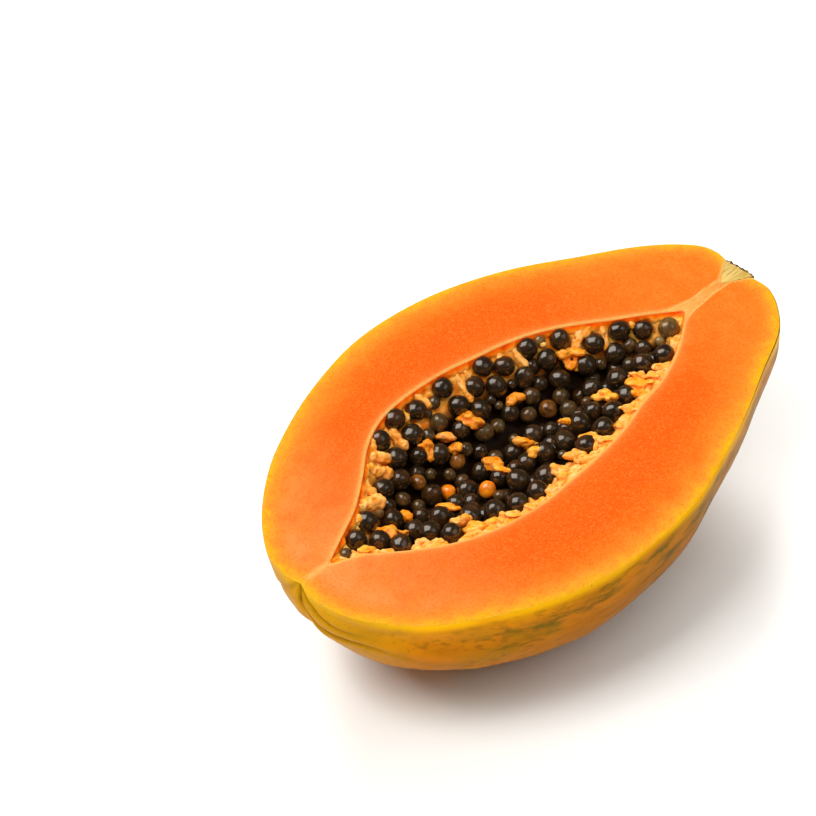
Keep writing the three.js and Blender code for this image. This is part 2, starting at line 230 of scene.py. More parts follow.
# Balls that make a lump: how many, how far from its middle, and their sizes as shares of it
LUMP_BALLS, LUMP_SPREAD, LUMP_BALL = 9, 0.5, (0.38, 0.7)
LUMP_BUMPS, LUMP_FOLDS = [(0.25, 3.2, 53), (0.035, 0.9, 55)], [(0.22, 2.6, 54)]
LUMP_VOXEL = 0.25
SOFTEN_FACTOR, SOFTEN_STEPS, EVEN_STEPS = 0.6, 16, 30
# Pulp bank along the near rim: spacing, half axes, how far it keeps from a seed as a share of its
# size, and rows of how far in from the edge, how deep and how often
BANK_STEP = 1.7
BANK_BLOB = (1.6, 1.7, 1.3)
BANK_CLEAR = 0.55
BANK_ROWS = [(0.7, 2.3, 1.0), (2.6, 2.9, 0.95), (4.4, 3.9, 0.75), (6.2, 5.2, 0.3)]
# Ridges of pulp down the far wall, as they show on the cut face: x, y of the top and of the foot,
# and half width
RIDGES = [
    (-53.2, 24.8, -49.8, 19.6, 1.6), (-57.2, 21.2, -53.3, 14, 1.7), (-63.5, 14.2, -61.6, 12, 1.2),
    (-69.3, 10.3, -64, 7.5, 2.1), (-40.7, 26, -42.5, 19.6, 1.5), (-9.8, 31.3, -14.5, 19.5, 1.05),
    (-6.7, 30.6, -7.4, 26.9, 1.1), (5.2, 27.5, 4.5, 25.4, 1.4), (11.2, 28.2, 7.2, 17.6, 1.25),
    (31.5, 18.2, 25, 13.3, 1.35), (34.5, 16.7, 31, 14.6, 1.1), (37, 14.2, 31.5, 7, 1.25),
    (-33, 33, -34, 27, 1.2), (-24.5, 33, -25.5, 27, 1.3), (19.5, 25.5, 18.5, 21.5, 1.1),
    (44.5, 9.5, 43, 6.5, 1.1), (-46.5, 29.5, -49, 26, 1.2), (-75, 6.5, -72, 6.5, 1.2),
]
RIDGE_LIFT, RIDGE_TOP, RIDGE_STEP = 0.7, -1.3, 0.55
RIDGE_HEAD, RIDGE_SPREAD = 0.85, 0.3

# The stalk's stub, as in the CAD model
STUB_TIP = (77.5, 0.5)
STUB_BASE = (87.2, 0.9)
STUB_RADIUS = 5.9
STUB_RINGS, STUB_SIDES, STUB_END_RINGS, STUB_COLUMNS = 40, 48, 12, 25
STUB_TORN, STUB_CROWN, STUB_SLIM = 1.5, 0.5, 0.9
PIT_GAP, PIT_SHARE = 0.3, 0.8
# Pale band from the cavity to the stub: half width, how much wider it starts, and strengths of the
# band, of the ring round the stub and of the line at the blossom end
BAND_HALF, BAND_FLARE = 2.3, 2.6
BAND_LEVEL, SLEEVE_LEVEL, NOTCH_LEVEL = 0.5, 0.85, 0.7
# Threads from the cavity to the stub: place across the band, width and strength
THREADS = [(-0.95, 0.16, 1.0), (-0.5, 0.1, 0.8), (-0.1, 0.1, 0.85), (0.35, 0.1, 0.8), (0.9, 0.18, 1.0)]

rng = np.random.default_rng(11)


# Curves and fields

def spline(points, count):
    """count + 1 points, evenly spaced, on a smooth curve through the given ones."""
    knots = np.array([points[0], *points, points[-1]], float)
    dense = []
    for a, b, c, d in zip(knots, knots[1:], knots[2:], knots[3:]):
        t = np.linspace(0, 1, CURVE_STEPS, endpoint=False)[:, None]
        dense.append(0.5 * (2 * b + (c - a) * t + (2 * a - 5 * b + 4 * c - d) * t**2
                            + (3 * b - a - 3 * c + d) * t**3))
    line = np.vstack([*dense, knots[-1:]])
    reach = np.r_[0, np.cumsum(np.hypot(*np.diff(line, axis=0).T))]
    wanted = np.linspace(0, reach[-1], count + 1)
    return np.c_[np.interp(wanted, reach, line[:, 0]), np.interp(wanted, reach, line[:, 1])]


def edge_at(points, x):
    """y of an edge of the cavity at each x, on a smooth curve through its points."""
    knots = np.array([CAVITY_START, *points, CAVITY_END], float)
    slope = np.empty(len(knots))
    slope[1:-1] = (knots[2:, 1] - knots[:-2, 1]) / (knots[2:, 0] - knots[:-2, 0])
    slope[0], slope[-1] = (knots[1, 1] - knots[0, 1]) / (knots[1, 0] - knots[0, 0]), (
        knots[-1, 1] - knots[-2, 1]) / (knots[-1, 0] - knots[-2, 0])
    x = np.clip(x, knots[0, 0], knots[-1, 0])
    i = np.clip(np.searchsorted(knots[:, 0], x, side="right"), 1, len(knots) - 1)
    span = knots[i, 0] - knots[i - 1, 0]
    t = (x - knots[i - 1, 0]) / span
    ease = t * t * (3 - 2 * t)
    bend = span * t * (1 - t) * ((1 - t) * slope[i - 1] - t * slope[i])
    return knots[i - 1, 1] * (1 - ease) + knots[i, 1] * ease + bend


def pulp_depth(x, y):
    """Depth of the pulp's surface below the cut face."""
    far, near = edge_at(FAR_EDGE, x), edge_at(NEAR_EDGE, x)
    width = far - near
    from_near = np.maximum(y - near, 0)
    near_bank = NEAR_TOP + NEAR_SLOPE * from_near + NEAR_DROP * np.maximum(from_near - NEAR_BANK * width, 0)
    far_bank = FAR_TOP + FAR_SLOPE * np.maximum(far - y, 0)
    return np.minimum(np.minimum(near_bank, far_bank), np.maximum(FLOOR_SHARE * width, NEAR_TOP))


def bed_depth(x, y):
    """Depth of the bed under the seeds, which lies lower than the pulp away from the banks."""
    inward = np.minimum(edge_at(FAR_EDGE, x) - y, y - edge_at(NEAR_EDGE, x))
    drop = BANK_DROP * smooth(inward, *BANK_REACH) + BED_DROP * smooth(inward, *BED_REACH)
    return pulp_depth(x, y) + drop


def waves(places, size, seed, count=22):
    """Smooth noise from about -1 to 1 with features of the given size."""
    draw = np.random.default_rng(seed)
    turn = draw.normal(size=(count, 3))
    turn *= (draw.uniform(0.6, 1.7, count) * 2 * math.pi / size / np.linalg.norm(turn, axis=1))[:, None]
    phase = draw.uniform(0, 2 * math.pi, count)
    return np.sin(places @ turn.T + phase).sum(axis=-1) / math.sqrt(count * 1.6)


def bumps(places, sets):
    """Several sets of waves together."""
    return sum(height * waves(places, size, seed) for height, size, seed in sets)


def bell(value, middle, width):
    """A rise to 1 at the middle that fades out on both sides."""
    return np.exp(-(((value - middle) / width) ** 2))


def smooth(value, low, high):
    """Rises from 0 at low to 1 at high."""
    t = np.clip((value - low) / (high - low), 0, 1)
    return t * t * (3 - 2 * t)


def distance_to(line, places):
    """Least distance in the plan from each place to a line of points."""
    near = np.full(len(places), np.inf)
    for a, b in zip(line[:-1], line[1:]):
        run = b - a
        t = np.clip(((places[:, :2] - a) @ run) / max(run @ run, 1e-9), 0, 1)
        near = np.minimum(near, np.linalg.norm(places[:, :2] - a - t[:, None] * run, axis=1))
    return near


# Pieces

FAR_LINE = spline([BLOSSOM_NOTCH, *FAR_SKIN, STEM_PIT], STATIONS)
NEAR_LINE = spline([BLOSSOM_NOTCH, *NEAR_SKIN, STEM_PIT], STATIONS)
PLAN_LOW_X = min(FAR_LINE[:, 0].min(), NEAR_LINE[:, 0].min())
PLAN_LOW_Y = NEAR_LINE[:, 1].min()
SHIFT = np.array([FLESH_LOW[0] - PLAN_LOW_X, FLESH_LOW[1] - PLAN_LOW_Y, FLESH_HIGH[2]])


def to_world(place):
    return Vector((np.asarray(place, float) + SHIFT) * MM)


def make_mesh(name, places, faces, materials, fields=None, face_slots=None):
    mesh = bpy.data.meshes.new(name)
    mesh.from_pydata(((places + SHIFT) * MM).tolist(), [], [list(map(int, face)) for face in faces])
    for material in materials:
        mesh.materials.append(material)
    for field, values in (fields or {}).items():
        layer = mesh.attributes.new(field, "FLOAT", "POINT")
        layer.data.foreach_set("value", np.asarray(values, np.float32))
    if face_slots is not None:
        mesh.polygons.foreach_set("material_index", np.asarray(face_slots, np.int32))
    mesh.polygons.foreach_set("use_smooth", np.ones(len(mesh.polygons), bool))
    mesh.validate()
    piece = bpy.data.objects.new(name, mesh)
    bpy.context.scene.collection.objects.link(piece)
    return piece


def add_piece(piece, slot, *replaced):
    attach(piece, "root")
    if replaced:
        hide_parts(*replaced)
    return piece


def grid_faces(rows, columns, start=0, flip=False):
    """Quads of a grid of points that is stored row by row."""
    i, j = np.meshgrid(np.arange(rows - 1), np.arange(columns - 1), indexing="ij")
    a = (start + i * columns + j).ravel()
    quads = np.c_[a, a + 1, a + columns + 1, a + columns]
    return quads[:, ::-1] if flip else quads


def grid_normals(grid):
    down = np.gradient(grid, axis=0)
    along = np.gradient(grid, axis=1)
    normal = np.cross(down, along)
    return normal / np.maximum(np.linalg.norm(normal, axis=-1, keepdims=True), 1e-9)


# Materials

class Nodes:
    """A material's node tree, with short calls to add to it."""

    def __init__(self, name):
        self.material = bpy.data.materials.new(name)
        self.material.use_nodes = True
        self.tree = self.material.node_tree
        self.shader = self.tree.nodes["Principled BSDF"]

    def add(self, kind, **settings):
        node = self.tree.nodes.new(kind)
        for name, value in settings.items():
            setattr(node, name, value)
        return node

    def link(self, source, target):
        self.tree.links.new(source, target)

    def feed(self, node, **inputs):
        """Sets or links the node's inputs, named with _ for a space."""
        for name, value in inputs.items():
            socket = node.inputs[name.replace("_", " ")]
            if isinstance(value, bpy.types.NodeSocket):
                self.link(value, socket)
            else:
                socket.default_value = value

    def field(self, name):
        return self.add("ShaderNodeAttribute", attribute_name=name).outputs["Fac"]

    def place(self, stretch=(1, 1, 1)):
        """The place on the piece in millimetres, stretched by a factor for each axis."""
        spot = self.add("ShaderNodeTexCoord").outputs["Object"]
        scaled = self.add("ShaderNodeMapping")
        self.feed(scaled, Vector=spot, Scale=tuple(factor / MM for factor in stretch))
        return scaled.outputs["Vector"]

    def noise(self, size, detail=3.0, stretch=(1, 1, 1), roughness=0.5):
        node = self.add("ShaderNodeTexNoise")
        self.feed(node, Vector=self.place(stretch), Scale=1 / size, Detail=detail, Roughness=roughness)
        return node.outputs["Fac"]

    def cells(self, size, feature="F1"):
        node = self.add("ShaderNodeTexVoronoi", feature=feature)
        self.feed(node, Vector=self.place(), Scale=1 / size)
        return node.outputs["Distance"]

    def math(self, kind, a, b=0.0):
        node = self.add("ShaderNodeMath", operation=kind)
        for socket, value in zip(node.inputs, (a, b)):
            if isinstance(value, bpy.types.NodeSocket):
                self.link(value, socket)
            else:
                socket.default_value = value
        return node.outputs["Value"]

    def fit(self, value, low, high, to_low=0.0, to_high=1.0):
        node = self.add("ShaderNodeMapRange", interpolation_type="SMOOTHSTEP")
        self.feed(node, Value=value, From_Min=low, From_Max=high, To_Min=to_low, To_Max=to_high)
        return node.outputs["Result"]

    def ramp(self, value, stops):
        """A colour ramp from (place, (r, g, b)) stops, with display colours from 0 to 255."""
        node = self.add("ShaderNodeValToRGB")
        ramp = node.color_ramp
        while len(ramp.elements) < len(stops):
            ramp.elements.new(0.5)
        for element, (place, tone) in zip(ramp.elements, stops):
            element.position = place
            element.color = (*display(tone), 1)
        self.link(value, node.inputs["Fac"])
        return node.outputs["Color"]

    def mix(self, share, a, b, kind="MIX"):
        node = self.add("ShaderNodeMix", data_type="RGBA", blend_type=kind)
        for socket, value in zip((node.inputs[0], node.inputs[6], node.inputs[7]), (share, a, b)):
            if isinstance(value, bpy.types.NodeSocket):
                self.link(value, socket)
            elif isinstance(value, tuple):
                socket.default_value = (*display(value), 1)
            else:
                socket.default_value = value
        return node.outputs[2]

    def scaled(self, tone, factor):
        node = self.add("ShaderNodeVectorMath", operation="SCALE")
        self.link(tone, node.inputs[0])
        node.inputs["Scale"].default_value = factor
        return node.outputs["Vector"]

    def bump(self, height, distance, strength=1.0, under=None):
        node = self.add("ShaderNodeBump")
        self.feed(node, Height=height, Distance=distance * MM, Strength=strength)
        if under is not None:
            self.link(under, node.inputs["Normal"])
        return node.outputs["Normal"]

    def finish(self, **inputs):
        self.feed(self.shader, **inputs)
        return self.material


def display(tone):
    """Surface colour that shows as the tone where the light is as on the cut face.

    A place that gets less light than the cut face is given a tone over 255.
    """
    value = np.asarray(tone, float) / 255
    value = np.where(value <= 0.04045, value / 12.92, ((value + 0.055) / 1.055) ** 2.4)
    return tuple(value / LIGHT_LEVEL)


def skin_material():
    m = Nodes("papaya_skin")
    drop = m.field("rim_mm")
    # Lighter just below the rim and darker down the belly: partly the skin's own colour, partly painted
    # light near the rim and painted shade on the underside.
    tone = m.ramp(m.math("DIVIDE", drop, 40.0), [
        (0.0, (284, 214, 10)), (0.035, (276, 200, 6)), (0.1, (244, 158, 3)), (0.2, (232, 142, 2)),
        (0.45, (206, 124, 1)), (1.0, (198, 118, 1)),
    ])
    below = m.fit(drop, 1.0, 5.0)
    past_end = m.fit(m.field("along"), -86, -62)
    blush = m.fit(m.noise(15, 3, (0.5, 1, 1)), 0.45, 0.7, 0, 0.5)
    tone = m.mix(blush, tone, (240, 136, 6))
    brown = m.math("MULTIPLY", m.fit(m.noise(6, 4, (0.3, 1, 1), 0.6), 0.4, 0.72, 0, 0.55), below)
    tone = m.mix(brown, tone, (170, 98, 2))
    olive = m.math("MULTIPLY", m.fit(m.noise(20, 4, (0.4, 1, 1), 0.6), 0.46, 0.66, 0, 0.6), below)
    olive = m.math("MULTIPLY", olive, past_end)
    tone = m.mix(olive, tone, (166, 126, 4))
    patches = m.math("MULTIPLY", m.fit(m.noise(16, 3, (0.5, 1, 1)), 0.5, 0.64),
                     m.fit(m.noise(4.2, 4, (0.4, 1, 1), 0.6), 0.4, 0.66))
    patches = m.math("MULTIPLY", patches, m.math("MULTIPLY", past_end, below))
    tone = m.mix(m.math("MULTIPLY", patches, 0.8), tone, (96, 96, 8))
    streaks = m.math("MULTIPLY", m.fit(m.noise(1.8, 3, (0.08, 1, 1)), 0.5, 0.7),
                     m.fit(m.noise(9, 3, (0.4, 1, 1)), 0.4, 0.56))
    tone = m.mix(m.math("MULTIPLY", m.math("MULTIPLY", streaks, below), 0.6), tone, (126, 84, 4))
    specks = m.math("MULTIPLY", m.fit(m.cells(2.6), 0.05, 0.12, 1, 0), m.fit(m.noise(10, 2), 0.5, 0.56))
    tone = m.mix(m.math("MULTIPLY", specks, 0.8), tone, (84, 50, 6))
    tone = m.mix(m.fit(m.cells(1.1), 0.05, 0.2, 0.12, 0), tone, (214, 156, 24))
    # Painted sheen: the skin is painted up to 1.4 times lighter towards the blossom end.
    tone = m.mix(m.fit(m.field("along"), -100, 0), m.scaled(tone, 1.4), tone)
    tone = m.mix(m.fit(m.field("along"), -100, -82, 0.6, 0), tone, (240, 182, 24))
    # Painted reflection: a whitish band along the rim at the stem end, where the skin mirrors the bright
    # floor.
    stem_rim_reflection = m.math("MULTIPLY", m.fit(m.field("along"), 52, 80), m.fit(drop, 1.5, 6, 0.8, 0))
    tone = m.mix(stem_rim_reflection, tone, (300, 240, 110))
    # Painted shade in the skin's folds.
    tone = m.mix(m.field("crease"), tone, (178, 122, 4))
    normal = m.bump(m.noise(7, 3), 0.3, 0.4)
    normal = m.bump(m.noise(1.6, 4), 0.06, 0.5, normal)
    return m.finish(Base_Color=tone, Normal=normal, Specular_IOR_Level=0.012,
                    Roughness=m.fit(m.noise(5, 3), 0.3, 0.7, 0.3, 0.4))


def flesh_material():
    m = Nodes("papaya_flesh")
    depth = m.math("ADD", m.field("skin_mm"), m.fit(m.noise(5, 3), 0.25, 0.75, -1.2, 1.2))
    tone = m.ramp(m.math("DIVIDE", depth, 30.0), [
        (0.0, (252, 198, 14)), (0.04, (252, 188, 34)), (0.09, (252, 167, 44)), (0.15, (252, 150, 40)),
        (0.26, (252, 130, 28)), (0.4, (252, 110, 16)), (0.6, (252, 97, 10)), (0.93, (252, 101, 14)),
    ])
    pale_end = m.mix(m.fit(m.noise(6, 3), 0.3, 0.7), (252, 147, 64), (253, 163, 87))
    inside = m.fit(m.field("skin_mm"), 2, 9)
    tone = m.mix(m.math("MULTIPLY", m.field("blossom"), inside), tone, pale_end)
    stem_end = m.mix(m.fit(m.noise(7, 3), 0.3, 0.7), (252, 128, 30), (252, 138, 40))
    tone = m.mix(m.math("MULTIPLY", m.field("stem_end"), inside), tone, stem_end)
    # Pale lip of the cavity: partly its own lining, partly a painted highlight along the edge.
    tone = m.mix(m.field("lip"), tone, (258, 202, 108))
    tone = m.mix(m.field("band"), tone, (258, 214, 118))
    grain = m.noise(1.5, 4, roughness=0.65)
    tone = m.mix(m.fit(grain, 0.3, 0.75, 0, 0.28), tone, (253, 126, 34))
    speck = m.noise(0.7, 2)
    tone = m.mix(m.fit(speck, 0.48, 0.66, 0, 0.34), tone, (255, 150, 66))
    tone = m.mix(m.fit(speck, 0.34, 0.5, 0.3, 0), tone, (246, 84, 8))
    flecks = m.fit(m.cells(1.1), 0.0, 0.22, 0.2, 0)
    tone = m.mix(flecks, tone, (255, 150, 66))
    deep = m.fit(m.noise(11, 3), 0.5, 0.75, 0, 0.3)
    tone = m.mix(m.math("MULTIPLY", deep, inside), tone, (248, 92, 10))
    normal = m.bump(m.noise(3.2, 3), 0.1, 0.4)
    normal = m.bump(grain, 0.05, 0.5, normal)
    return m.finish(Base_Color=tone, Normal=normal, Subsurface_Weight=0.2,
                    Subsurface_Radius=(1.0, 0.35, 0.12), Subsurface_Scale=0.002,
                    Roughness=m.fit(m.noise(2.4, 3), 0.3, 0.7, 0.45, 0.6), Specular_IOR_Level=0.08)


def pulp_material():
    m = Nodes("papaya_pulp")
    height = m.math("ADD", m.field("ridge"), m.fit(m.noise(2.2, 2), 0.25, 0.75, -0.12, 0.12))
    # Tones over 255 are painted light: the pulp is painted lighter than it is, as the walls of the cavity
    # get less light than the cut face.
    tone = m.ramp(height, [
        (0.0, (284, 92, 2)), (0.3, (304, 134, 10)), (0.6, (308, 168, 34)), (1.0, (309, 208, 92)),
    ])
    # Painted shade: the bed deep among the seeds is painted near black.
    tone = m.mix(m.math("MULTIPLY", m.field("dark"), 0.99), tone, (13, 7, 3))
    # Top of the wall below the lip: the pale lining with a painted highlight.
    tone = m.mix(m.field("lip"), tone, (306, 206, 104))
    normal = m.bump(m.noise(1.4, 3), 0.12, 0.5)
    return m.finish(Base_Color=tone, Normal=normal, Subsurface_Weight=0.7,
                    Subsurface_Radius=(1.0, 0.55, 0.25), Subsurface_Scale=0.003,
                    Roughness=0.4, Specular_IOR_Level=0.12)


def lump_material(name, dark, light):
    m = Nodes(name)
    body = m.noise(2.6, 3, roughness=0.5)
    tone = m.mix(m.fit(body, 0.35, 0.68), dark, light)
    # Painted shade in the hollows between the lump's balls.
    tone = m.mix(m.math("MULTIPLY", m.field("dent"), 0.8), tone, (270, 124, 4))
    # Painted shade: lumps lower in the cavity are painted darker.
    tone = m.mix(m.fit(m.field("low_mm"), 3.5, 9, 0, 0.3), tone, (270, 134, 8))
    normal = m.bump(m.noise(1.3, 3), 0.12, 0.5)
    return m.finish(Base_Color=tone, Normal=normal, Subsurface_Weight=0.35,
                    Subsurface_Radius=(1.0, 0.4, 0.12), Subsurface_Scale=0.0025,
                    Roughness=0.3, Specular_IOR_Level=0.4)


def seed_material(name, core, veil, share):
    """A wet seed: a dark core that shows unevenly through its clear, tinted skin."""
    m = Nodes(name)
    cloud = m.noise(3.4, 3)
    warm = m.fit(m.noise(4.5, 2), 0.5, 0.68, 0, 0.6)
    tone = m.mix(m.fit(cloud, 0.36, 0.72, 0, share), core, veil)
    tone = m.mix(warm, tone, tuple(0.5 * (a + b) for a, b in zip(veil, (112, 48, 6))))
    wrinkle = m.cells(1.25, feature="SMOOTH_F1")
    tone = m.mix(m.fit(wrinkle, 0.3, 0.62, 0, 0.35 * share), tone, veil)
    normal = m.bump(wrinkle, 0.12, 0.35)
    normal = m.bump(m.noise(2.0, 3), 0.12, 0.4, normal)
    return m.finish(Base_Color=tone, Normal=normal, Roughness=0.19, IOR=1.85,
                    Specular_Tint=(1.0, 0.92, 0.82, 1), Sheen_Weight=0.03, Sheen_Roughness=0.35,
                    Sheen_Tint=(0.5, 0.34, 0.18, 1))


def stub_material():
    m = Nodes("stalk_stub")
    fibre = m.noise(0.9, 3, (0.14, 1, 1))
    tone = m.mix(m.fit(fibre, 0.35, 0.65), (214, 174, 80), (238, 206, 126))
    pink = m.fit(m.noise(2.6, 2, (0.4, 1, 1)), 0.55, 0.7, 0, 0.45)
    tone = m.mix(pink, tone, (222, 166, 112))
    near_tip = m.fit(m.field("out"), 0.1, 0.6, 0.6, 0)
    tone = m.mix(near_tip, tone, (254, 206, 104))
    torn = m.math("ADD", m.field("torn"), m.fit(m.noise(1.0, 3), 0.3, 0.7, -0.3, 0.3))
    tone = m.mix(m.fit(torn, 0.45, 0.8), tone, (122, 86, 46))
    normal = m.bump(fibre, 0.2, 0.7)
    return m.finish(Base_Color=tone, Normal=normal, Roughness=0.55, Specular_IOR_Level=0.1,
                    Subsurface_Weight=0.15, Subsurface_Radius=(1.0, 0.7, 0.3), Subsurface_Scale=0.001)


# Rind, flesh and pulp

def distance_3d(line, places):
    """Least distance from each place to a line of points, and how far along the line it lies."""
    line = np.array(line, float)
    near, along = np.full(places.shape[:-1], np.inf), np.zeros(places.shape[:-1])
    for i, (a, b) in enumerate(zip(line[:-1], line[1:])):
        run = b - a
        t = np.clip(((places - a) @ run) / (run @ run), 0, 1)
        gap = np.linalg.norm(places - a - t[..., None] * run, axis=-1)
        along = np.where(gap < near, (i + t) / (len(line) - 1), along)
        near = np.minimum(near, gap)
    return near, along


def folds(grid):
    """How deep each place of the skin lies in the sharp folds that run from the blossom end."""
    depth = np.zeros(grid.shape[:-1])
    for line, width, deep in FOLDS:
        gap, along = distance_3d(line, grid)
        fade = 1 - smooth(along, FOLD_FADE, 1)
        depth = np.maximum(depth, deep * fade * bell(gap, 0, width))
    return depth


def skin_grid():
    """Rows along the fruit, columns round it from the far rim to the near one."""
    along = np.linspace(0, 1, STATIONS + 1)[:, None]
    angle = np.linspace(0, math.pi, SKIN_STEPS + 1)[None, :]
    axis = BLOSSOM_NOTCH[1] + (STEM_PIT[1] - BLOSSOM_NOTCH[1]) * along
    far_half, near_half = FAR_LINE[:, 1:] - axis, axis - NEAR_LINE[:, 1:]
    deepest = ((far_half + near_half) / 2).max()
    share = (1 - np.cos(angle)) / 2
    radius = far_half * (1 - share) + near_half * share
    radius = radius * (1 + (BELLY_DEPTH / deepest - 1) * np.sin(angle) ** 2)
    degrees = np.degrees(angle)
    crease = sum(deep * bell(degrees, middle, CREASE_WIDTH) for middle, deep in CREASES)
    fade = smooth(along, 0, CREASE_RISE) * (1 - smooth(along, CREASE_RISE, CREASE_END))
    radius = radius - fade * crease
    shoulder = smooth(along, *SHOULDER_RISE) * (1 - smooth(along, *SHOULDER_FADE))
    radius = radius + SHOULDER_BULGE * shoulder * bell(degrees, SHOULDER_ANGLE, SHOULDER_WIDTH)
    x = FAR_LINE[:, :1] * (1 - share) + NEAR_LINE[:, :1] * share
    grid = np.stack([x + 0 * radius, axis + radius * np.cos(angle), -radius * np.sin(angle)], -1)
    inner = np.sin(angle)[..., None] ** 0.7 * smooth(along, 0, 0.04)[..., None]
    inner = inner * (1 - smooth(along, 0.96, 1)[..., None])
    grid = grid - grid_normals(grid) * (bumps(grid, SKIN_BUMPS)[..., None] * inner)
    fold_depth = folds(grid)
    grid = grid - grid_normals(grid) * fold_depth[..., None] * inner ** 0.3
    grid[..., 2] = np.maximum(grid[..., 2], FLAT_DEPTH - BELLY_DEPTH)
    grid[:, 0, 2] = grid[:, -1, 2] = 0
    # The second value is how much painted shade each place of the skin gets in the folds.
    return grid, np.clip(fold_depth / FOLD_SHADE_DEPTH, 0, 0.9)


def face_grid(stations):
    """The cut face: rings from the skin's outline to the cavity's edge, once round the fruit."""
    inner_far = np.c_[stations, edge_at(FAR_EDGE, stations)]
    inner_near = np.c_[stations, edge_at(NEAR_EDGE, stations)]
    outer = np.vstack([FAR_LINE, NEAR_LINE[-2:0:-1]])
    inner = np.vstack([inner_far, inner_near[-2:0:-1]])
    t = np.linspace(0, 1, FACE_RINGS + 1)
    for turns, share in RING_CROWDING:
        t = t - share * np.sin(turns * math.pi * np.linspace(0, 1, FACE_RINGS + 1))
    flat = outer[None] * (1 - t[:, None, None]) + inner[None] * t[:, None, None]
    return np.dstack([flat, np.zeros(flat.shape[:2])]), outer, inner


def pulp_grid(stations):
    """The pulp under the seeds: one section across the cavity for each station."""
    rows = []
    for x in stations:
        far, near = edge_at(FAR_EDGE, x), edge_at(NEAR_EDGE, x)
        y = np.linspace(far, near, PULP_SAMPLES)
        width = far - near
        z = -bed_depth(np.full_like(y, x), y)
        wall = min(1.0, width / NARROW_CAVITY)
        z = z * wall
        line = np.vstack([[far, 0], np.c_[y, z], [near, 0]])
        reach = np.r_[0, np.cumsum(np.hypot(*np.diff(line, axis=0).T))]
        wanted = np.linspace(0, max(reach[-1], 1e-6), PULP_STEPS + 1)
        rows.append(np.c_[np.full(PULP_STEPS + 1, x), np.interp(wanted, reach, line[:, 0]),
                          np.interp(wanted, reach, line[:, 1])])
    return np.array(rows)


def raise_pulp(pulp, seeds):
    """Raises the pulp between the seeds, in combs down the walls and in lumps on the banks."""
    rows = pulp.reshape(-1, 3)
    far, near = edge_at(FAR_EDGE, rows[:, 0]), edge_at(NEAR_EDGE, rows[:, 0])
    edge_y = np.minimum(far - rows[:, 1], rows[:, 1] - near)
    below = -rows[:, 2]
    gap = np.full(len(rows), 9.0)
    for middle, radius in seeds:
        gap = np.minimum(gap, np.linalg.norm(rows - middle, axis=1) - radius)
    comb = np.sin(rows[:, 0] * math.pi / COMB_SPACING + bumps(rows * COMB_STRETCH, COMB_WANDER)) ** 2
    lumps = np.clip(0.6 + bumps(rows, PULP_LUMPS), 0, 1.2)
    rim = 1 - smooth(edge_y, *RIM_REACH)
    start = smooth(below, 0.4, 2.2)
    lumps = lumps * smooth(gap, -0.4, 1.8)
    rise = start * (rim * (COMB_RISE * comb + BANK_RISE * lumps) + BED_RISE * (1 - rim) * lumps)
    rise += start * bumps(rows, PULP_ROUGH)
    facing = -grid_normals(pulp).reshape(-1, 3)
    facing *= np.sign(facing[:, 2:] + 1e-6)
    moved = rows + facing * rise[:, None]
    moved[:, 1] = np.clip(moved[:, 1], near, far)
    moved[:, 2] = np.minimum(moved[:, 2], -LIP_DROP * (1 + smooth(edge_y, 0, 2)))
    grid = moved.reshape(pulp.shape)
    grid[0], grid[-1] = pulp[0], pulp[-1]
    grid[:, 0], grid[:, -1] = pulp[:, 0], pulp[:, -1]
    grid[:, 0, 2] = grid[:, -1, 2] = -LIP_DROP
    grid[0, :, 2] = grid[-1, :, 2] = -LIP_DROP
    ridge = 0.16 + 0.34 * smooth(below, 1, 3.5) + rise / 2 + bumps(rows, PULP_TINT)
    return grid, ridge


